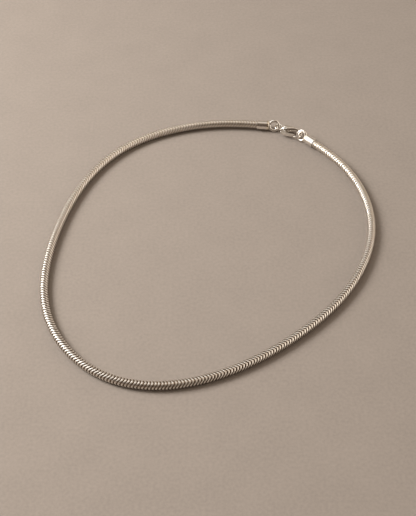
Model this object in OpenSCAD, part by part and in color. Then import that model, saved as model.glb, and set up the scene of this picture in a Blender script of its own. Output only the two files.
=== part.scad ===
// Round snake chain necklace, closed by a lobster clasp and lying on a table in a loose oval.
// Millimetres. The table is z = 0, +Z is up, and +Y points from the front of the loop to the clasp.

/* [Loop] */
// Width of the loop, over the chain
loop_w = 125.6; // [120:0.2:131]
// Length of the loop, from its front to the chain by the clasp
loop_l = 134.9; // [129:0.1:141]

/* [Chain] */
// Outer diameter of the chain
chain_d = 3.2; // [2.6:0.1:3.8]
// Length of chain held in each end cap
chain_insert = 3.6; // [2.5:0.1:4.5]

/* [End caps] */
// Clearance round the chain in the cup of a cap
cup_gap = 0.05; // [0.03:0.01:0.1]
// Wall of the cup
cup_wall = 0.25; // [0.2:0.05:0.5]
// Thickness of the closed end of a cap
cap_end = 1; // [0.6:0.1:2]
// Radius of the rounded edge of the closed end
cap_edge_r = 0.35; // [0.1:0.05:0.5]

/* [Soldered rings] */
// Outer diameter of a ring
ring_d = 5; // [4.4:0.1:5.8]
// Diameter of the wire of a ring
ring_wire_d = 1.1; // [0.9:0.05:1.2]
// Depth to which a ring is sunk in its cap where it is soldered
solder_depth = 0.35; // [0.2:0.05:0.5]
// Diameters of the solder's foot on the cap and of its head on the ring
solder_foot_d = 1.7; // [1.4:0.1:2]
solder_head_d = 1.2; // [1:0.1:1.4]
// Lean of the rings, from 0 for a ring that lies flat, in degrees
ring_lean = 57; // [50:1:70]

/* [Clasp] */
// Thickness of the clasp at its shoulder
clasp_t = 2.8; // [2.6:0.1:3.2]
// Width of the clasp's shoulder
shoulder_w = 3.5; // [3.3:0.1:3.8]
// Width across the claw
claw_w = 5.2; // [5:0.1:5.6]
// Distance of the claw's round end off the line through the eye, towards the lever
hook_drop = 0.25; // [0.15:0.05:0.35]
// Width of the claw's arm at its round end
arm_w = 1; // [0.9:0.05:1.2]
// Thickness of the claw's arm at its round end
arm_t = 1.35; // [1.1:0.05:1.4]
// Room between the ring in the claw and the claw's round end
hook_room = 0.35; // [0.3:0.05:0.6]
// Diameter of the hole in the clasp's eye
eye_hole_d = 2.1; // [2:0.05:2.5]
// Thickness of the rim round the eye
eye_rim_d = 0.8; // [0.6:0.05:1]
// Height of the clasp's underside above the table, since both its ends lie on the rings
clasp_rise = 0.5; // [0.4:0.05:0.6]

/* [Lever] */
// Thickness of the lever
lever_t = 1; // [0.8:0.1:1.3]
// Width of the lever along its gate
lever_w = 0.85; // [0.7:0.05:1]
// Distance of the lever's rivet from the eye, along the clasp
pivot_in = 1.7; // [1.6:0.05:1.9]
// Distance of the rivet off the line through the eye, towards the gate
pivot_off = 0.55; // [0.45:0.05:0.65]
// Wall of the lever round the rivet
hub_wall = 0.45; // [0.4:0.05:0.5]
// How far the lever's thumb tab reaches behind the rivet, towards the eye
tab_back = 1.4; // [1.2:0.1:1.6]
// How far the thumb tab stands out from the rivet
tab_out = 1.65; // [1.5:0.05:1.8]
// How far the tip of the gate reaches past the middle of the claw's round end, towards the eye
tip_back = 0.15; // [0:0.05:0.3]
// Clearance between the tip of the gate and the inside of the claw's tip
tip_gap = 0.06; // [0.04:0.01:0.1]
// Clearance on each side of the lever in its slot
slot_gap = 0.06; // [0.04:0.01:0.1]
// How far the slot runs past the rivet, along the clasp
slot_run = 2.2; // [2:0.1:2.4]
// Angle through which the lever swings in, in degrees
lever_swing = 26; // [15:1:28]
// Diameter of the rivet that the lever turns on
pin_d = 0.8; // [0.6:0.05:1]
// Radial clearance of the rivet in its holes
pin_gap = 0.03; // [0.02:0.01:0.06]
// Depth of the rivet's ends below the clasp's thickest place
pin_inset = 0.2; // [0.15:0.05:0.3]

/* [Hidden] */
$fn = 64;
silver = [0.82, 0.81, 0.78];
bright_silver = [0.88, 0.87, 0.85];

// Guide points of the chain's centre line, x and y, from the left end cap round to the right one.
// The chain follows the smooth spline that they pull. The three points at each end lie in line,
// so the chain starts at the second point and is straight inside its cap.
ROUTE = [
    [41.5, 63], [22.5, 65], [3.5, 67], [-16, 63.5], [-33.5, 55], [-46.5, 40.5],
    [-54.7, 23], [-59.7, 4.5], [-62.2, -14.5], [-60.6, -33.5], [-52, -51], [-37, -63.5],
    [-18, -67], [1, -62.5], [18, -53.5], [33, -42], [46.5, -28.5], [56.4, -12],
    [61.8, 6.5], [60.3, 25.5], [52.5, 43], [39, 56.5], [25.5, 70]
];
// Width and length of the loop as these points draw it
ROUTE_SIZE = [125.6, 134.9];
// The clasp's place among these points. The loop is stretched away from it.
CLASP_MIDDLE = [31, 60.5];
// Brings the middle of the loop as drawn to x = 0, y = 0
LOOP_SHIFT = [0.3, -0.2];
TUBE_SIDES = 8;
RINGS_PER_SPAN = 3;

// Sections of the claw from the eye to its tip: share of the way along, breadth from 0 for as
// wide as the arm to 1 for the shoulder, depth in the same way, and how far the ends close in.
CLAW_SECTIONS = [
    [0.00, 1.00, 1.00, 0.46], [0.03, 1.00, 1.00, 0.71], [0.06, 1.00, 1.00, 0.90],
    [0.10, 1.00, 1.00, 1.00], [0.16, 1.00, 1.00, 1.00], [0.24, 0.80, 0.92, 1.00],
    [0.32, 0.54, 0.78, 1.00], [0.41, 0.30, 0.55, 1.00], [0.50, 0.10, 0.22, 1.00],
    [0.60, 0.00, 0.02, 1.00], [0.80, 0.00, 0.00, 0.95], [0.92, 0.00, 0.00, 0.86],
    [0.97, 0.00, 0.00, 0.66], [1.00, 0.00, 0.00, 0.26]
];
// Pulls of the curve of the claw's back: share of the run from the eye to the round end,
// and how far off the line through the eye as a share of the round end's radius.
CLAW_BACK = [[0, 0.07], [0.3, 0.14], [0.55, 1], [1, 1]];
CLAW_SIDES = 28;
CLAW_BACK_STEPS = 28;
HOOK_STEPS = 24;
HOOK_END_ANGLE = -98;

// Lever from its thumb tab to the tip of its gate: share of the way along, how far it bows out
// past the straight line between them as a share of lever_w, half width as a share of lever_w.
LEVER_SECTIONS = [
    [0.00, 0.00, 0.20], [0.04, 0.04, 0.42], [0.12, 0.12, 0.56], [0.22, 0.24, 0.64],
    [0.34, 0.38, 0.66], [0.48, 0.50, 0.62], [0.62, 0.50, 0.58], [0.78, 0.32, 0.52],
    [0.90, 0.10, 0.44], [0.97, 0.00, 0.34], [1.00, 0.00, 0.16]
];

chain_r = chain_d / 2;
cup_r = chain_r + cup_gap;
cap_r = cup_r + cup_wall;
cap_tip = cup_gap + cap_end;
ring_r = (ring_d - ring_wire_d) / 2;
ring_wire_r = ring_wire_d / 2;
ring_reach = cap_tip + ring_d / 2 - solder_depth;

// A leaning ring touches the table with its lower side, and that lifts its cap a little.
cap_z = max(cap_r, ring_r * sin(ring_lean) + ring_wire_r);

// The points in the caps keep their places by the clasp, and the others stretch away from it.
last_span = len(ROUTE) - 3;
stretch = [loop_w / ROUTE_SIZE[0], loop_l / ROUTE_SIZE[1]];
loop_shift = LOOP_SHIFT + [(stretch[0] - 1) * CLASP_MIDDLE[0], (loop_l - ROUTE_SIZE[1]) / 2];
guide = [for (i = [0 : len(ROUTE) - 1])
    let (in_cap = i < 3 || i > last_span - 1,
         pull = in_cap ? [1, 1] : stretch,
         away = ROUTE[i] - CLASP_MIDDLE,
         p = CLASP_MIDDLE + [away[0] * pull[0], away[1] * pull[1]] + loop_shift)
    [p[0], p[1], in_cap ? cap_z : chain_r]];

function unit(v) = v / norm(v);

function span_of(points, u) = min(floor(u), len(points) - 4);

// Point of the spline at u, which runs from 0 to the number of spans
function spline_point(points, u) =
    let (i = span_of(points, u), t = u - i)
    (pow(1 - t, 3) * points[i]
     + (3 * pow(t, 3) - 6 * pow(t, 2) + 4) * points[i + 1]
     + (-3 * pow(t, 3) + 3 * pow(t, 2) + 3 * t + 1) * points[i + 2]
     + pow(t, 3) * points[i + 3]) / 6;

// Direction of the spline at u
function spline_heading(points, u) =
    let (i = span_of(points, u), t = u - i)
    unit(-pow(1 - t, 2) * points[i]
         + (3 * pow(t, 2) - 4 * t) * points[i + 1]
         + (-3 * pow(t, 2) + 2 * t + 1) * points[i + 2]
         + pow(t, 2) * points[i + 3]);

// Faces of a closed skin over rings of points, each ring with the same number of sides
function skin_faces(rings, sides) = concat(
    [[for (j = [0 : sides - 1]) j]],
    [for (i = [0 : rings - 2], j = [0 : sides - 1])
        let (k = (j + 1) % sides)
        each [[i * sides + j, (i + 1) * sides + j, (i + 1) * sides + k],
              [i * sides + j, (i + 1) * sides + k, i * sides + k]]],
    [[for (j = [sides - 1 : -1 : 0]) (rings - 1) * sides + j]]
);

// Ends of the chain and the outward headings of their caps
left_end = spline_point(guide, 0);
left_out = -spline_heading(guide, 0);
right_end = spline_point(guide, last_span);
right_out = spline_heading(guide, last_span);

function turn_of(v) = atan2(v[1], v[0]);

function mixed(a, b, share) = a + (b - a) * share;

// Place on a leaning ring, on its side away from its cap, where its wire meets height z
function wire_at(end, out, raised, z) =
    let (across = raised * [-out[1], out[0], 0],
         rise = (z - cap_z) / (ring_r * sin(ring_lean)),
         along = sqrt(1 - rise * rise))
    end + out * (ring_reach + ring_r * along) + across * (ring_r * rise * cos(ring_lean))
        + [0, 0, z - cap_z];

// The clasp lies level across the two rings. Its eye takes the left one and its claw the right one.
clasp_z = clasp_rise + clasp_t / 2;
eye_at = wire_at(left_end, left_out, 1, clasp_z);
hold_at = wire_at(right_end, right_out, -1, clasp_z);
clasp_reach = norm(hold_at - eye_at);
clasp_turn = turn_of(hold_at - eye_at);

eye_r = (eye_hole_d + eye_rim_d) / 2;
hook_r = (claw_w - arm_w) / 2;
hook_x = clasp_reach + ring_wire_r + hook_room + arm_w / 2 - hook_r;
hook_at = [hook_x, -hook_drop];
pivot = [eye_r + pivot_in, -pivot_off];
hub_r = pin_d / 2 + hub_wall;
tab_end = pivot - [tab_back, tab_out];

function arc_points(centre, r, from, to, steps) =
    [for (i = [1 : steps]) let (a = from + (to - from) * i / steps) centre + r * [cos(a), sin(a)]];

function bezier_points(a, b, c, d, steps) =
    [for (i = [0 : steps]) let (t = i / steps)
        pow(1 - t, 3) * a + 3 * pow(1 - t, 2) * t * b + 3 * (1 - t) * pow(t, 2) * c + pow(t, 3) * d];

// Centre line of the claw: out of the eye, through the shoulder, along the back and round the hook
claw_back = [for (row = CLAW_BACK)
    [eye_r + (hook_x - eye_r) * row[0], hook_r * row[1] - hook_drop * row[0]]];
claw_path = concat(
    bezier_points(claw_back[0], claw_back[1], claw_back[2], claw_back[3], CLAW_BACK_STEPS),
    arc_points(hook_at, hook_r, 90, HOOK_END_ANGLE, HOOK_STEPS)
);

function path_lengths(path, i = 1, sum = [0]) =
    i == len(path) ? sum
    : path_lengths(path, i + 1, concat(sum, [sum[i - 1] + norm(path[i] - path[i - 1])]));

function share_at(table, column, s) = lookup(s, [for (row = table) [row[0], row[column]]]);

function path_heading(path, i) =
    unit(path[min(i + 1, len(path) - 1)] - path[max(i - 1, 0)]);

// Half width of the claw and of the lever near their tips, which the clearance lies between
claw_tip_half = arm_w / 2 * share_at(CLAW_SECTIONS, 3, 0.92);
gate_tip_half = lever_w * share_at(LEVER_SECTIONS, 2, 0.97);
gate_tip = hook_at - [tip_back, hook_r - claw_tip_half - gate_tip_half - tip_gap];

module snake_chain() {
    rings = last_span * RINGS_PER_SPAN + 1;
    points = [for (k = [0 : rings - 1])
        let (u = k / RINGS_PER_SPAN,
             centre = spline_point(guide, u),
             ahead = spline_heading(guide, u),
             side = unit([-ahead[1], ahead[0], 0]),
             up = cross(ahead, side))
        for (j = [0 : TUBE_SIDES - 1])
            let (a = 360 * j / TUBE_SIDES)
            centre + chain_r * (cos(a) * side + sin(a) * up)];
    color(silver) polyhedron(points, skin_faces(rings, TUBE_SIDES), convexity = 10);
}

// Half section of the cup, with the chain's end at height 0 and its mouth below
module cap_profile() {
    body_l = chain_insert + cap_tip;
    difference() {
        translate([0, -chain_insert]) union() {
            square([cap_r, body_l - cap_edge_r]);
            square([cap_r - cap_edge_r, body_l]);
            translate([cap_r - cap_edge_r, body_l - cap_edge_r]) circle(cap_edge_r);
        }
        translate([0, -chain_insert - 1]) square([cup_r, chain_insert + 1 + cup_gap]);
    }
}

// Cup and soldered ring as one solid, along +X from the end of the chain
module end_cap(end, out, raised) {
    color(bright_silver) translate(end) rotate([0, 0, turn_of(out)]) {
        rotate([0, 90, 0]) rotate_extrude() cap_profile();
        translate([ring_reach, 0, 0]) rotate([raised * ring_lean, 0, 0])
            rotate_extrude() translate([ring_r, 0]) circle(ring_wire_r);
        translate([cap_tip - solder_depth, 0, 0]) rotate([0, 90, 0])
            cylinder(d1 = solder_foot_d, d2 = solder_head_d, h = solder_depth * 2);
    }
}

module end_cap_left() {
    end_cap(left_end, left_out, 1);
}

module end_cap_right() {
    end_cap(right_end, right_out, -1);
}

// Puts a shape drawn in the clasp's own plane, with its eye at the origin, in its place
module in_clasp() {
    translate(eye_at) rotate([0, 0, clasp_turn]) children();
}

module claw_horn() {
    lengths = path_lengths(claw_path);
    rings = len(claw_path);
    points = [for (i = [0 : rings - 1])
        let (s = lengths[i] / lengths[rings - 1],
             ahead = path_heading(claw_path, i),
             side = [-ahead[1], ahead[0], 0],
             closing = share_at(CLAW_SECTIONS, 3, s),
             half_w = closing / 2 * mixed(arm_w, shoulder_w, share_at(CLAW_SECTIONS, 1, s)),
             half_t = closing / 2 * mixed(arm_t, clasp_t, share_at(CLAW_SECTIONS, 2, s)))
        for (j = [0 : CLAW_SIDES - 1])
            let (a = 360 * j / CLAW_SIDES)
            [claw_path[i][0], claw_path[i][1], 0]
            + half_w * cos(a) * side + [0, 0, half_t * sin(a)]];
    polyhedron(points, skin_faces(rings, CLAW_SIDES), convexity = 10);
}

// Space in the shoulder for the lever, from shut to swung in
module lever_slot() {
    slot_t = lever_t + 2 * slot_gap;
    slot_r = hub_r + 2 * slot_gap;
    slot_l = slot_r + slot_run;
    bar_room = lever_w * 0.4;
    translate([0, 0, -slot_t / 2]) linear_extrude(slot_t) {
        translate(pivot) circle(slot_r);
        translate([pivot[0] - slot_r, -claw_w]) square([slot_l, claw_w + pivot[1]]);
        translate(pivot) square([slot_run, bar_room]);
    }
}

module clasp_body() {
    color(bright_silver) in_clasp() difference() {
        union() {
            rotate_extrude() translate([eye_r, 0]) circle(eye_rim_d / 2);
            claw_horn();
        }
        lever_slot();
        translate([pivot[0], pivot[1], -clasp_t]) cylinder(r = pin_d / 2 + pin_gap, h = 2 * clasp_t);
    }
}

// Outline of the bar from the thumb tab to the tip of the gate, along the near side of the claw
module lever_bar_outline() {
    run = gate_tip - tab_end;
    ahead = unit(run);
    side = [-ahead[1], ahead[0]];
    steps = 32;
    rows = [for (i = [0 : steps]) let (s = i / steps)
        [tab_end + run * s - side * lever_w * share_at(LEVER_SECTIONS, 1, s),
         lever_w * share_at(LEVER_SECTIONS, 2, s)]];
    polygon(concat(
        [for (row = rows) row[0] - side * row[1]],
        [for (i = [steps : -1 : 0]) rows[i][0] + side * rows[i][1]]
    ));
}

module clasp_lever() {
    color(silver) in_clasp() difference() {
        translate([0, 0, -lever_t / 2]) linear_extrude(lever_t) {
            translate(pivot) circle(hub_r);
            translate(pivot - [hub_r, tab_out]) square([2 * hub_r, tab_out]);
            lever_bar_outline();
        }
        translate([pivot[0], pivot[1], -clasp_t]) cylinder(r = pin_d / 2 + pin_gap, h = 2 * clasp_t);
    }
}

module lever_pin() {
    pin_l = clasp_t - 2 * pin_inset;
    color(bright_silver) in_clasp() translate([pivot[0], pivot[1], -pin_l / 2])
        cylinder(r = pin_d / 2, h = pin_l);
}

snake_chain();
end_cap_left();
end_cap_right();
clasp_body();
clasp_lever();
lever_pin();
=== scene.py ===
"""A round silver snake chain with a lobster clasp, lying in a loose oval on a table."""
import math

import bmesh
import bpy
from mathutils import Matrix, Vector


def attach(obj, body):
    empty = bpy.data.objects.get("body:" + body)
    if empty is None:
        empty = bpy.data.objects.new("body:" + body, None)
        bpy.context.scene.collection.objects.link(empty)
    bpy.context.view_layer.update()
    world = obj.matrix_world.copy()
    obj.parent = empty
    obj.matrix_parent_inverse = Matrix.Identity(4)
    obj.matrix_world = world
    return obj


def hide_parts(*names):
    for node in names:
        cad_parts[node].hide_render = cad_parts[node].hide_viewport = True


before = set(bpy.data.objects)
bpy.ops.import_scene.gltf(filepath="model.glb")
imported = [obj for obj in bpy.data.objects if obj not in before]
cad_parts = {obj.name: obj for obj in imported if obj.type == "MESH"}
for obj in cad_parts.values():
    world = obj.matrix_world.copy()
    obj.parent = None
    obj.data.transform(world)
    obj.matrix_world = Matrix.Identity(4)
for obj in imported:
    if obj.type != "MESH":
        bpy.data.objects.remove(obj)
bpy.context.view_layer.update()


# The view
# The viewer stands in front of the loop, a little left of its middle, and looks down on it through
# a long lens, so that the far side of the loop is only a little smaller than the near one.
view_down = math.radians(48.42)
view_place = (-0.00127, -0.30162, 0.33267)
camera_data = bpy.data.cameras.new("Camera")
camera_data.sensor_width = 36
camera_data.lens = 82.95
camera_data.clip_start = 0.01
camera_data.clip_end = 10
camera = bpy.data.objects.new("Camera", camera_data)
camera.location = view_place
camera.rotation_euler = (math.pi / 2 - view_down, 0, 0)
bpy.context.scene.collection.objects.link(camera)
bpy.context.scene.camera = camera
bpy.context.scene.view_settings.view_transform = "Standard"


# The table
# A plain matt top in a warm pale beige, with a fine grain and a faint mottle. It runs out of sight
# on every side and lies a hair below the chain's underside.
table_half_width = 2.5
table_height = -0.00001
table_dark = (0.203, 0.174, 0.151, 1)
table_pale = (0.309, 0.263, 0.226, 1)


def new_node(tree, kind, place, values=None, **settings):
    """A new node at a place on the sheet, with its settings and the plain values of its inputs."""
    node = tree.nodes.new(kind)
    node.location = place
    for name, value in settings.items():
        setattr(node, name, value)
    for socket, value in (values or {}).items():
        node.inputs[socket].default_value = value
    return node


def new_material(name):
    """An empty material with its Principled shader, and the shader's tree."""
    material = bpy.data.materials.new(name)
    material.use_nodes = True
    tree = material.node_tree
    tree.nodes.clear()
    shader = new_node(tree, "ShaderNodeBsdfPrincipled", (600, 0))
    out = new_node(tree, "ShaderNodeOutputMaterial", (900, 0))
    tree.links.new(shader.outputs["BSDF"], out.inputs["Surface"])
    return material, tree, shader


def coat(mesh, material):
    """A mesh in one material only."""
    mesh.materials.clear()
    mesh.materials.append(material)


def table_finish():
    """Fine grain over a wider mottle, between a darker and a paler beige."""
    material, tree, shader = new_material("Matt table top")
    link = tree.links.new
    shader.inputs["Roughness"].default_value = 0.75
    shader.inputs["Specular IOR Level"].default_value = 0.3
    where = new_node(tree, "ShaderNodeTexCoord", (-800, 0))
    mottle = new_node(tree, "ShaderNodeTexNoise", (-500, 0), {"Scale": 70, "Detail": 2})
    grain = new_node(tree, "ShaderNodeTexNoise", (-500, -300), {"Scale": 900, "Detail": 2})
    grained = new_node(tree, "ShaderNodeMixRGB", (-250, 0), {0: 0.72})
    tone = new_node(tree, "ShaderNodeMixRGB", (100, 0), {1: table_dark, 2: table_pale})
    link(where.outputs["Object"], mottle.inputs["Vector"])
    link(where.outputs["Object"], grain.inputs["Vector"])
    link(mottle.outputs["Fac"], grained.inputs[1])
    link(grain.outputs["Fac"], grained.inputs[2])
    link(grained.outputs[0], tone.inputs[0])
    link(tone.outputs[0], shader.inputs["Base Color"])
    return material


def make_table():
    half = table_half_width
    corners = [(x, y, table_height) for x, y in ((-half, -half), (half, -half), (half, half), (-half, half))]
    mesh = bpy.data.meshes.new("table_top")
    mesh.from_pydata(corners, [], [(0, 1, 2, 3)])
    coat(mesh, table_finish())
    table = bpy.data.objects.new("table_top", mesh)
    bpy.context.scene.collection.objects.link(table)


make_table()


# The light
# A wide soft window stands at the left, a little behind the loop, with one bright pane that only the
# silver mirrors. A pale wall faces it on the right, and the room is dim in front, where nothing
# lights the side of the silver that faces the viewer.
daylight = (1.0, 0.99, 0.97)
room_tone = (0.81, 0.688, 0.576, 1)
# What each patch is, its azimuth and height, the cosines off that way at which it starts and is
# full, and its colour
room_patches = (
    ("dim front", (180, 30), 0.30, 0.90, (0.11, 0.08, 0.06, 1)),
    ("dim back", (-4, 38), 0.70, 0.94, (0.36, 0.30, 0.245, 1)),
    ("pale wall", (98, 18), 0.70, 0.93, (1.30, 1.14, 0.97, 1)),
    ("window's upper part", (-50, 52), 0.86, 0.96, (1.4, 1.36, 1.30, 1)),
    ("window's lower part", (-84, 32), 0.88, 0.96, (2.0, 1.96, 1.89, 1)),
)


def direction(azimuth, height):
    """A way out into the room: azimuth from the back towards the right, and height, in degrees."""
    turn, rise = math.radians(azimuth), math.radians(height)
    return Vector((math.sin(turn) * math.cos(rise), math.cos(turn) * math.cos(rise), math.sin(rise)))


def soft_lamp(name, way, distance, width, power, aim, spread, mirrored):
    """A round soft lamp that either lights matt surfaces or is mirrored by shiny ones."""
    data = bpy.data.lights.new(name, "AREA")
    data.shape = "DISK"
    data.size = width
    data.energy = power
    data.color = daylight
    data.spread = math.radians(spread)
    lamp = bpy.data.objects.new(name, data)
    lamp.location = direction(*way) * distance
    lamp.visible_diffuse = not mirrored
    lamp.visible_glossy = mirrored
    lamp.rotation_euler = (Vector(aim) - lamp.location).to_track_quat("-Z", "Y").to_euler()
    bpy.context.scene.collection.objects.link(lamp)


def room_light():
    """The room as a few wide soft patches, each mixed over the last."""
    world = bpy.data.worlds.new("Room")
    bpy.context.scene.world = world
    world.use_nodes = True
    tree = world.node_tree
    tree.nodes.clear()
    link = tree.links.new
    where = new_node(tree, "ShaderNodeTexCoord", (-1200, 0))
    last = None
    for i, (name, way, start, full, colour) in enumerate(room_patches):
        y = -300 * i
        aim = new_node(tree, "ShaderNodeVectorMath", (-900, y), {1: direction(*way)}, operation="DOT_PRODUCT")
        reach = {"From Min": start, "From Max": full}
        share = new_node(tree, "ShaderNodeMapRange", (-650, y), reach, interpolation_type="SMOOTHSTEP")
        mixed = new_node(tree, "ShaderNodeMixRGB", (200 * i - 300, 0), {1: room_tone, 2: colour}, label=name)
        link(where.outputs["Generated"], aim.inputs[0])
        link(aim.outputs["Value"], share.inputs["Value"])
        link(share.outputs["Result"], mixed.inputs[0])
        if last:
            link(last.outputs[0], mixed.inputs[1])
        last = mixed
    back = new_node(tree, "ShaderNodeBackground", (700, 0))
    out = new_node(tree, "ShaderNodeOutputWorld", (900, 0))
    link(last.outputs[0], back.inputs["Color"])
    link(back.outputs[0], out.inputs["Surface"])


soft_lamp(
    "Window lamp", way=(-76, 41), distance=0.66, width=0.34, power=6.3,
    aim=(0, 0, 0), spread=180, mirrored=False,
)
soft_lamp(
    "Lit pane", way=(-70, 30), distance=0.29, width=0.125, power=0.088,
    aim=(0.05, 0.045, 0), spread=80, mirrored=True,
)
room_light()


# The chain
# Round snake chain of sterling silver. Each link is a thin domed strip bent into a ring that waves
# forward and back twice on its way round, and nests in the next one. A closed core tube fills the
# hollow inside and carries the painted shade of the grooves.
millimetre = 0.001
route_points = [
    (41.5, 63), (22.5, 65), (3.5, 67), (-16, 63.5), (-33.5, 55), (-46.5, 40.5),
    (-54.7, 23), (-59.7, 4.5), (-62.2, -14.5), (-60.6, -33.5), (-52, -51), (-37, -63.5),
    (-18, -67), (1, -62.5), (18, -53.5), (33, -42), (46.5, -28.5), (56.4, -12),
    (61.8, 6.5), (60.3, 25.5), (52.5, 43), (39, 56.5), (25.5, 70),
]
route_shift = (0.3, -0.2)
height_on_table = 1.6
height_in_caps = 2.18541
points_in_caps = 3
# How far the links are turned about the chain at each of these points, in degrees
link_turns = (
    -27, -27, -27, -25, -16, -4, 10, 18, 27, 51, 69, 84,
    94, 115, 119, 116, 104, 90, 75, 58, 45, 40, 40,
)
link_sizes = (
    ("Pitch", 0.00115), ("Ring radius", 0.00135), ("Wave", 0.00062), ("Strip width", 0.00083),
    ("Strip thickness", 0.00050), ("Core radius", 0.00112), ("Looseness", 0.018),
)
# The strip's section, as shares of its thickness and width, with how near each corner is to the
# crown, which sets the painted groove shade: the crown, then a shoulder and a flat back corner on each side
strip_corners = (
    ((0.5, 0, 0), 1), ((0.33, 0.40, 0), 0.4), ((-0.5, 0.44, 0), -1),
    ((-0.5, -0.44, 0), -1), ((0.33, -0.40, 0), 0.4),
)
steps_round_ring = 12
steps_round_core = 10
waves_round_ring = 2
crease = math.radians(50)


def chain_route():
    """The chain's centre line as a smooth curve, turned slowly about itself as it lies."""
    data = bpy.data.curves.new("chain_route", "CURVE")
    data.dimensions = "3D"
    data.twist_mode = "Z_UP"
    data.resolution_u = 24
    spline = data.splines.new("NURBS")
    spline.points.add(len(route_points) - 1)
    for i, (x, y) in enumerate(route_points):
        in_cap = i < points_in_caps or i >= len(route_points) - points_in_caps
        z = height_in_caps if in_cap else height_on_table
        place = Vector((x + route_shift[0], y + route_shift[1], z)) * millimetre
        spline.points[i].co = (*place, 1)
        spline.points[i].tilt = math.radians(link_turns[i])
    spline.order_u = 4
    spline.use_endpoint_u = False
    route = bpy.data.objects.new("snake_links", data)
    bpy.context.scene.collection.objects.link(route)
    return route


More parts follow.
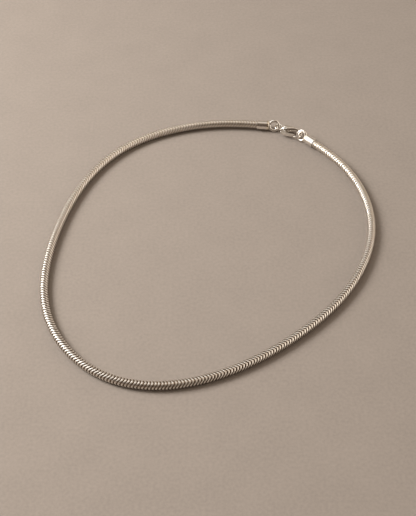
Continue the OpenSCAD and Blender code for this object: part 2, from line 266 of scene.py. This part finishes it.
def links_tree():
    """Wavy ridged rings strung along a curve, with a core inside them marked for painted groove shade."""
    tree = bpy.data.node_groups.new("Snake links", "GeometryNodeTree")
    face = tree.interface
    face.new_socket("Route", in_out="INPUT", socket_type="NodeSocketGeometry")
    for name, value in link_sizes:
        face.new_socket(name, in_out="INPUT", socket_type="NodeSocketFloat").default_value = value
    face.new_socket("Finish", in_out="INPUT", socket_type="NodeSocketMaterial")
    face.new_socket("Chain", in_out="OUTPUT", socket_type="NodeSocketGeometry")
    link = tree.links.new
    given = new_node(tree, "NodeGroupInput", (-1700, 0))
    out = new_node(tree, "NodeGroupOutput", (1900, 0))

    # Section of the strip
    dome = new_node(
        tree, "GeometryNodeCurvePrimitiveCircle", (-1500, -300), {"Resolution": len(strip_corners)}
    )
    corner = new_node(tree, "GeometryNodeInputIndex", (-1500, -500))
    outline = new_node(tree, "GeometryNodeIndexSwitch", (-1300, -500), data_type="VECTOR")
    crown = new_node(tree, "GeometryNodeIndexSwitch", (-1300, -800), data_type="FLOAT")
    for switch in (outline, crown):
        while len(switch.index_switch_items) < len(strip_corners):
            switch.index_switch_items.new()
        link(corner.outputs[0], switch.inputs["Index"])
    for i, (place, height) in enumerate(strip_corners):
        outline.inputs[i + 1].default_value = place
        crown.inputs[i + 1].default_value = height
    section = new_node(tree, "ShaderNodeCombineXYZ", (-1300, -1100))
    link(given.outputs["Strip thickness"], section.inputs["X"])
    link(given.outputs["Strip width"], section.inputs["Y"])
    scaled = new_node(tree, "ShaderNodeVectorMath", (-1050, -500), operation="MULTIPLY")
    link(outline.outputs[0], scaled.inputs[0])
    link(section.outputs[0], scaled.inputs[1])
    shaped = new_node(tree, "GeometryNodeSetPosition", (-800, -300))
    link(dome.outputs["Curve"], shaped.inputs["Geometry"])
    link(scaled.outputs[0], shaped.inputs["Position"])
    marked = new_node(tree, "GeometryNodeStoreNamedAttribute", (-600, -300), {"Name": "crown"})
    link(shaped.outputs[0], marked.inputs["Geometry"])
    link(crown.outputs[0], marked.inputs["Value"])

    # The strip bent into a plain ring, then pushed forward and back along the chain
    ring = new_node(
        tree, "GeometryNodeCurvePrimitiveCircle", (-800, 200), {"Resolution": steps_round_ring}
    )
    link(given.outputs["Ring radius"], ring.inputs["Radius"])
    upright = new_node(tree, "GeometryNodeSetCurveNormal", (-600, 200), mode="Z_UP")
    link(ring.outputs["Curve"], upright.inputs["Curve"])
    strip = new_node(tree, "GeometryNodeCurveToMesh", (-400, 100))
    link(upright.outputs[0], strip.inputs["Curve"])
    link(marked.outputs[0], strip.inputs["Profile Curve"])
    spot = new_node(tree, "GeometryNodeInputPosition", (-1000, 500))
    split = new_node(tree, "ShaderNodeSeparateXYZ", (-850, 500))
    around = new_node(tree, "ShaderNodeMath", (-700, 500), operation="ARCTAN2")
    turned = new_node(tree, "ShaderNodeMath", (-550, 500), {1: waves_round_ring}, operation="MULTIPLY")
    swing = new_node(tree, "ShaderNodeMath", (-400, 500), operation="COSINE")
    reach = new_node(tree, "ShaderNodeMath", (-250, 500), operation="MULTIPLY")
    lift = new_node(tree, "ShaderNodeCombineXYZ", (-100, 500))
    link(spot.outputs[0], split.inputs[0])
    link(split.outputs["Y"], around.inputs[0])
    link(split.outputs["X"], around.inputs[1])
    link(around.outputs[0], turned.inputs[0])
    link(turned.outputs[0], swing.inputs[0])
    link(swing.outputs[0], reach.inputs[0])
    link(given.outputs["Wave"], reach.inputs[1])
    link(reach.outputs[0], lift.inputs["Z"])
    waved = new_node(tree, "GeometryNodeSetPosition", (-100, 200))
    link(strip.outputs[0], waved.inputs["Geometry"])
    link(lift.outputs[0], waved.inputs["Offset"])
    bend = new_node(tree, "GeometryNodeInputMeshEdgeAngle", (0, -100))
    sharp = new_node(tree, "FunctionNodeCompare", (180, -100), {"B": crease}, operation="GREATER_THAN")
    creased = new_node(
        tree, "GeometryNodeSetShadeSmooth", (360, 100), {"Shade Smooth": False}, domain="EDGE"
    )
    link(bend.outputs["Unsigned Angle"], sharp.inputs["A"])
    link(sharp.outputs[0], creased.inputs["Selection"])
    link(waved.outputs[0], creased.inputs["Geometry"])

    # One link at each step along the chain, none of them quite square to it
    strung = new_node(tree, "GeometryNodeResampleCurve", (-200, 900), mode="LENGTH")
    link(given.outputs["Route"], strung.inputs["Curve"])
    link(given.outputs["Pitch"], strung.inputs["Length"])
    ahead = new_node(tree, "GeometryNodeInputTangent", (0, 1100))
    side = new_node(tree, "GeometryNodeInputNormal", (0, 1000))
    facing = new_node(tree, "FunctionNodeAxesToRotation", (200, 1000))
    link(ahead.outputs[0], facing.inputs["Primary Axis"])
    link(side.outputs["Normal"], facing.inputs["Secondary Axis"])
    placed = new_node(tree, "GeometryNodeInstanceOnPoints", (560, 400))
    link(strung.outputs[0], placed.inputs["Points"])
    link(creased.outputs[0], placed.inputs["Instance"])
    link(facing.outputs[0], placed.inputs["Rotation"])
    most = new_node(tree, "ShaderNodeCombineXYZ", (360, 700))
    least = new_node(tree, "ShaderNodeVectorMath", (360, 850), {"Scale": -1}, operation="SCALE")
    lean = new_node(tree, "FunctionNodeRandomValue", (560, 700), {"Seed": 5}, data_type="FLOAT_VECTOR")
    for axis in "XYZ":
        link(given.outputs["Looseness"], most.inputs[axis])
    link(most.outputs[0], least.inputs[0])
    link(least.outputs[0], lean.inputs["Min"])
    link(most.outputs[0], lean.inputs["Max"])
    leaning = new_node(tree, "GeometryNodeRotateInstances", (740, 400))
    link(placed.outputs[0], leaning.inputs["Instances"])
    link(lean.outputs["Value"], leaning.inputs["Rotation"])
    wear = new_node(tree, "FunctionNodeRandomValue", (740, 700), {"Seed": 11}, data_type="FLOAT")
    worn = new_node(
        tree, "GeometryNodeStoreNamedAttribute", (920, 400), {"Name": "own_wear"}, domain="INSTANCE"
    )
    link(leaning.outputs[0], worn.inputs["Geometry"])
    link(wear.outputs[1], worn.inputs["Value"])

    # The core inside, closed at both ends, marked to take the painted groove shade
    inside = new_node(
        tree, "GeometryNodeCurvePrimitiveCircle", (360, -300), {"Resolution": steps_round_core}
    )
    link(given.outputs["Core radius"], inside.inputs["Radius"])
    core = new_node(tree, "GeometryNodeCurveToMesh", (560, -200), {"Fill Caps": True})
    link(strung.outputs[0], core.inputs["Curve"])
    link(inside.outputs["Curve"], core.inputs["Profile Curve"])
    core_in_groove_shade = new_node(
        tree, "GeometryNodeStoreNamedAttribute", (740, -200), {"Name": "crown", "Value": -1}
    )
    link(core.outputs[0], core_in_groove_shade.inputs["Geometry"])

    both = new_node(tree, "GeometryNodeJoinGeometry", (1100, 200))
    link(worn.outputs[0], both.inputs[0])
    link(core_in_groove_shade.outputs[0], both.inputs[0])
    whole = new_node(tree, "GeometryNodeRealizeInstances", (1280, 200))
    link(both.outputs[0], whole.inputs[0])
    smooth = new_node(tree, "GeometryNodeSetShadeSmooth", (1460, 200))
    link(whole.outputs[0], smooth.inputs["Geometry"])
    coated = new_node(tree, "GeometryNodeSetMaterial", (1640, 200))
    link(smooth.outputs[0], coated.inputs["Geometry"])
    link(given.outputs["Finish"], coated.inputs["Material"])
    link(coated.outputs[0], out.inputs[0])
    return tree


def silver_wear():
    """What handling leaves on silver: a cloudy film of tarnish, uneven polish and fine scratches."""
    tree = bpy.data.node_groups.new("Silver wear", "ShaderNodeTree")
    face = tree.interface
    for name, value in (
        ("Finest", 0.12), ("Dullest", 0.26), ("Scratch depth", 0.25), ("Film", 0.3), ("Size", 1.0),
    ):
        face.new_socket(name, in_out="INPUT", socket_type="NodeSocketFloat").default_value = value
    for name, kind in (("Film", "Float"), ("Roughness", "Float"), ("Normal", "Vector")):
        face.new_socket(name, in_out="OUTPUT", socket_type="NodeSocket" + kind)
    link = tree.links.new
    given = new_node(tree, "NodeGroupInput", (-1400, 0))
    out = new_node(tree, "NodeGroupOutput", (900, 0))
    where = new_node(tree, "ShaderNodeTexCoord", (-1400, 300))
    spread = new_node(tree, "ShaderNodeVectorMath", (-1200, 300), operation="SCALE")
    link(where.outputs["Object"], spread.inputs[0])
    link(given.outputs["Size"], spread.inputs["Scale"])

    fine_clouds = {"Scale": 420, "Detail": 6, "Roughness": 0.62}
    cloud = new_node(tree, "ShaderNodeTexNoise", (-900, 500), fine_clouds)
    film = new_node(tree, "ShaderNodeMapRange", (-600, 500), {"From Min": 0.42, "From Max": 0.72})
    held = new_node(tree, "ShaderNodeMath", (-300, 500), operation="MULTIPLY")
    link(spread.outputs[0], cloud.inputs["Vector"])
    link(cloud.outputs["Fac"], film.inputs["Value"])
    link(film.outputs["Result"], held.inputs[0])
    link(given.outputs["Film"], held.inputs[1])
    link(held.outputs[0], out.inputs["Film"])

    wear_and_shade = new_node(tree, "ShaderNodeTexNoise", (-900, 150), {"Scale": 900, "Detail": 3})
    dull = new_node(tree, "ShaderNodeMapRange", (-300, 150), {"From Min": 0.35, "From Max": 0.68})
    link(spread.outputs[0], wear_and_shade.inputs["Vector"])
    link(wear_and_shade.outputs["Fac"], dull.inputs["Value"])
    link(given.outputs["Finest"], dull.inputs["To Min"])
    link(given.outputs["Dullest"], dull.inputs["To Max"])
    link(dull.outputs["Result"], out.inputs["Roughness"])

    # Three sets of fine lines, each drawn out in its own direction
    last = None
    for i, turn in enumerate((28, 97, 154)):
        y = -200 - 300 * i
        drawn_out = {
            "Rotation": (math.radians(20 * i), 0, math.radians(turn)), "Scale": (300, 7000, 2500),
        }
        laid = new_node(tree, "ShaderNodeMapping", (-900, y), drawn_out)
        lines = new_node(tree, "ShaderNodeTexNoise", (-700, y), {"Scale": 1, "Detail": 1})
        cut = new_node(tree, "ShaderNodeMapRange", (-500, y), {"From Min": 0.62, "From Max": 0.70})
        link(spread.outputs[0], laid.inputs["Vector"])
        link(laid.outputs[0], lines.inputs["Vector"])
        link(lines.outputs["Fac"], cut.inputs["Value"])
        if last:
            more = new_node(tree, "ShaderNodeMath", (150 * i - 300, -300), operation="MAXIMUM")
            link(last, more.inputs[0])
            link(cut.outputs["Result"], more.inputs[1])
            last = more.outputs[0]
        else:
            last = cut.outputs["Result"]
    scored = new_node(tree, "ShaderNodeBump", (400, -200), {"Distance": 0.00001}, invert=True)
    link(given.outputs["Scratch depth"], scored.inputs["Strength"])
    link(last, scored.inputs["Height"])
    link(scored.outputs["Normal"], out.inputs["Normal"])
    return tree


wear_of_silver = silver_wear()


def link_silver():
    """Bright on the crown of each strip, dull where the strips meet, with tarnish and painted shade in the
    grooves.
    """
    material, tree, shader = new_material("Link silver")
    link = tree.links.new
    shader.inputs["Metallic"].default_value = 1
    handled = {"Finest": 0.285, "Dullest": 0.33, "Film": 0.5}
    wear = new_node(tree, "ShaderNodeGroup", (-800, -400), node_tree=wear_of_silver)
    for name, value in handled.items():
        wear.inputs[name].default_value = value

    # No two links are equally bright
    own = new_node(tree, "ShaderNodeAttribute", (-800, 700), attribute_name="own_wear")
    dimmed = new_node(tree, "ShaderNodeMath", (-500, 700), {1: 0.25}, operation="MULTIPLY")
    filmed = new_node(tree, "ShaderNodeMath", (-300, 700), operation="ADD")
    clean, tarnished = (0.92, 0.885, 0.835, 1), (0.78, 0.71, 0.62, 1)
    silver = new_node(tree, "ShaderNodeMixRGB", (-200, 500), {1: clean, 2: tarnished})
    link(own.outputs["Fac"], dimmed.inputs[0])
    link(dimmed.outputs[0], filmed.inputs[0])
    link(wear.outputs["Film"], filmed.inputs[1])
    link(filmed.outputs[0], silver.inputs[0])

    # The painted shade in the grooves is deepest at the front and lighter towards the back
    where = new_node(tree, "ShaderNodeTexCoord", (-1100, 400))
    apart = new_node(tree, "ShaderNodeSeparateXYZ", (-900, 400))
    wear_and_shade = new_node(tree, "ShaderNodeMapRange", (-700, 400), {"From Min": -0.035, "From Max": 0.040})
    # The painted shade of the grooves, at the front and at the back
    groove_shade_front, groove_shade_back = (0.34, 0.255, 0.185, 1), (0.64, 0.565, 0.48, 1)
    depth = new_node(tree, "ShaderNodeMixRGB", (-400, 400), {1: groove_shade_front, 2: groove_shade_back})
    link(where.outputs["Object"], apart.inputs[0])
    link(apart.outputs["Y"], wear_and_shade.inputs["Value"])
    link(wear_and_shade.outputs["Result"], depth.inputs[0])

    # Near the right end, at the back, the painted groove shade gives way to bright silver and the grooves are
    # less rough
    right = new_node(tree, "ShaderNodeMapRange", (-700, 650), {"From Min": 0.024, "From Max": 0.044})
    right_back_share = new_node(tree, "ShaderNodeMath", (-500, 550), operation="MULTIPLY")
    bright = new_node(tree, "ShaderNodeMixRGB", (-200, 300), {2: (0.90, 0.84, 0.76, 1)})
    dull = new_node(tree, "ShaderNodeMapRange", (-200, -300), {"To Min": 0.5, "To Max": 0.3})
    link(apart.outputs["X"], right.inputs["Value"])
    link(right.outputs["Result"], right_back_share.inputs[0])
    link(wear_and_shade.outputs["Result"], right_back_share.inputs[1])
    link(right_back_share.outputs[0], bright.inputs[0])
    link(depth.outputs[0], bright.inputs[1])
    link(right_back_share.outputs[0], dull.inputs["Value"])

    # From the painted shade of the groove to the crown's silver
    mark = new_node(tree, "ShaderNodeAttribute", (-800, 0), attribute_name="crown")
    rise = {"From Min": 0.1, "From Max": 0.6}
    groove = new_node(tree, "ShaderNodeMapRange", (-500, 0), rise, interpolation_type="SMOOTHSTEP")
    tone = new_node(tree, "ShaderNodeMixRGB", (0, 100))
    polish = new_node(tree, "ShaderNodeMapRange", (0, -200))
    link(mark.outputs["Fac"], groove.inputs["Value"])
    link(groove.outputs["Result"], tone.inputs[0])
    link(bright.outputs[0], tone.inputs[1])
    link(silver.outputs[0], tone.inputs[2])
    link(groove.outputs["Result"], polish.inputs["Value"])
    link(dull.outputs["Result"], polish.inputs["To Min"])
    link(wear.outputs["Roughness"], polish.inputs["To Max"])
    link(tone.outputs[0], shader.inputs["Base Color"])
    link(polish.outputs["Result"], shader.inputs["Roughness"])
    return material


def make_chain():
    route = chain_route()
    tree = links_tree()
    strung = route.modifiers.new("Snake links", "NODES")
    strung.node_group = tree
    sockets = {s.name: s.identifier for s in tree.interface.items_tree if s.in_out == "INPUT"}
    strung[sockets["Finish"]] = link_silver()
    ready = route.evaluated_get(bpy.context.evaluated_depsgraph_get())
    mesh = bpy.data.meshes.new_from_object(ready)
    mesh.name = "snake_links"
    bpy.data.objects.remove(route)
    chain = bpy.data.objects.new("snake_links", mesh)
    bpy.context.scene.collection.objects.link(chain)
    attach(chain, "necklace")
    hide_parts("snake_chain")


make_chain()


# The end caps with their rings
# Plain drawn cups of polished silver, each with a ring of round wire soldered to its closed end.
# Dirt lies in the cup's mouth round the chain, and the solder is a little yellower than the silver.
caps = (
    ("end_cap_left", (0.0228, 0.0648, 0.002185), (0.9945, -0.1047, 0)),
    ("end_cap_right", (0.0393, 0.0563, 0.002185), (-0.7071, 0.7071, 0)),
)
dirt_colour = (0.10, 0.07, 0.045, 1)
solder_colour = (0.86, 0.79, 0.66, 1)


def plain_silver(name, finest, dullest, scratch, film, bright, tarnished):
    """Polished silver with its wear, and the mix that sets its colour."""
    material, tree, shader = new_material(name)
    link = tree.links.new
    shader.inputs["Metallic"].default_value = 1
    wear = new_node(tree, "ShaderNodeGroup", (-600, 0), node_tree=wear_of_silver)
    wear.inputs["Finest"].default_value = finest
    wear.inputs["Dullest"].default_value = dullest
    wear.inputs["Scratch depth"].default_value = scratch
    wear.inputs["Film"].default_value = film
    tone = new_node(tree, "ShaderNodeMixRGB", (0, 200), {1: (*bright, 1), 2: (*tarnished, 1)})
    link(wear.outputs["Film"], tone.inputs[0])
    link(tone.outputs[0], shader.inputs["Base Color"])
    link(wear.outputs["Roughness"], shader.inputs["Roughness"])
    link(wear.outputs["Normal"], shader.inputs["Normal"])
    return material, tree, shader, tone


def band(tree, place, start, full):
    """A share that runs from none at one distance to all at another, in metres."""
    return new_node(tree, "ShaderNodeMapRange", place, {"From Min": start, "From Max": full})


def cap_silver(name, closed_end, outward):
    """The silver of one cap: dirt inside its mouth and yellower solder at the foot of its ring."""
    material, tree, shader, tone = plain_silver(
        name, finest=0.13, dullest=0.24, scratch=0.30, film=0.35,
        bright=(0.90, 0.87, 0.825), tarnished=(0.70, 0.62, 0.53),
    )
    link = tree.links.new
    where = new_node(tree, "ShaderNodeTexCoord", (-1200, 700))
    start = new_node(tree, "ShaderNodeVectorMath", (-1000, 700), {1: closed_end}, operation="SUBTRACT")
    along = new_node(tree, "ShaderNodeVectorMath", (-800, 700), {1: outward}, operation="DOT_PRODUCT")
    offset = new_node(tree, "ShaderNodeVectorMath", (-800, 900), {1: outward}, operation="CROSS_PRODUCT")
    apart = new_node(tree, "ShaderNodeVectorMath", (-600, 900), operation="LENGTH")
    link(where.outputs["Object"], start.inputs[0])
    link(start.outputs[0], along.inputs[0])
    link(start.outputs[0], offset.inputs[0])
    link(offset.outputs[0], apart.inputs[0])

    mouth = band(tree, (-600, 700), -0.00430, -0.00462)
    inside = band(tree, (-400, 900), 0.00188, 0.00172)
    dirt = new_node(tree, "ShaderNodeMath", (-200, 800), operation="MULTIPLY")
    soiled = new_node(tree, "ShaderNodeMixRGB", (250, 300), {2: dirt_colour})
    link(along.outputs["Value"], mouth.inputs["Value"])
    link(apart.outputs["Value"], inside.inputs["Value"])
    link(mouth.outputs["Result"], dirt.inputs[0])
    link(inside.outputs["Result"], dirt.inputs[1])
    link(dirt.outputs[0], soiled.inputs[0])
    link(tone.outputs[0], soiled.inputs[1])

    foot = band(tree, (-600, 1150), 0.00005, 0.0002)
    head = band(tree, (-600, 1400), 0.0011, 0.0008)
    solder = new_node(tree, "ShaderNodeMath", (-200, 1200), operation="MULTIPLY")
    joined = new_node(tree, "ShaderNodeMixRGB", (420, 300), {2: solder_colour})
    link(along.outputs["Value"], foot.inputs["Value"])
    link(along.outputs["Value"], head.inputs["Value"])
    link(foot.outputs["Result"], solder.inputs[0])
    link(head.outputs["Result"], solder.inputs[1])
    link(solder.outputs[0], joined.inputs[0])
    link(soiled.outputs[0], joined.inputs[1])
    link(joined.outputs[0], shader.inputs["Base Color"])
    return material


for name, closed_end, outward in caps:
    coat(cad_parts[name].data, cap_silver("Silver of " + name, closed_end, outward))


# The clasp's body
# A lobster clasp's body, cast in silver in one piece: eye, shoulder with the slot for the lever, and
# hooked claw. The casting's edges are rounded and it is polished by tumbling.
def softened(name, grain, rounds):
    """A piece's solid made into one even skin, with its edges rounded as casting and tumbling do."""
    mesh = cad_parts[name].data.copy()
    skin = bmesh.new()
    skin.from_mesh(mesh)
    bmesh.ops.remove_doubles(skin, verts=skin.verts, dist=0.000001)
    skin.to_mesh(mesh)
    skin.free()
    cast = bpy.data.objects.new(name + "_cast", mesh)
    bpy.context.scene.collection.objects.link(cast)
    even = cast.modifiers.new("Even skin", "REMESH")
    even.mode = "VOXEL"
    even.voxel_size = grain
    even.use_smooth_shade = True
    tumbled = cast.modifiers.new("Tumbled", "SMOOTH")
    tumbled.factor = 0.5
    tumbled.iterations = rounds
    ready = cast.evaluated_get(bpy.context.evaluated_depsgraph_get())
    finished = bpy.data.meshes.new_from_object(ready)
    cast.modifiers.clear()
    cast.data = finished
    bpy.data.meshes.remove(mesh)
    finished.name = name + "_cast"
    return cast


clasp_body_cast = softened("clasp_body", grain=0.00006, rounds=8)
cast_silver = plain_silver(
    "Cast silver", finest=0.14, dullest=0.27, scratch=0.28, film=0.45,
    bright=(0.90, 0.87, 0.825), tarnished=(0.66, 0.58, 0.48),
)[0]
coat(clasp_body_cast.data, cast_silver)
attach(clasp_body_cast, "necklace")
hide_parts("clasp_body")


# The lever
# The sprung gate of the clasp, pressed from silver sheet, with a tab for the thumb. It turns on the
# rivet, and thumbs and rings have rubbed it brighter than the body.
clasp_lever_cast = softened("clasp_lever", grain=0.00004, rounds=6)
lever_silver = plain_silver(
    "Lever silver", finest=0.12, dullest=0.22, scratch=0.14, film=0.30,
    bright=(0.91, 0.88, 0.84), tarnished=(0.72, 0.65, 0.56),
)[0]
coat(clasp_lever_cast.data, lever_silver)
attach(clasp_lever_cast, "lever")
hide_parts("clasp_lever")


# The rivet
# A plain pin of harder, greyer silver on which the lever turns. Its ends are hammered over and
# filed, so they are dull.
rivet_silver = plain_silver(
    "Rivet silver", finest=0.26, dullest=0.40, scratch=0.20, film=0.50,
    bright=(0.80, 0.78, 0.745), tarnished=(0.52, 0.47, 0.40),
)[0]
coat(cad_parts["lever_pin"].data, rivet_silver)
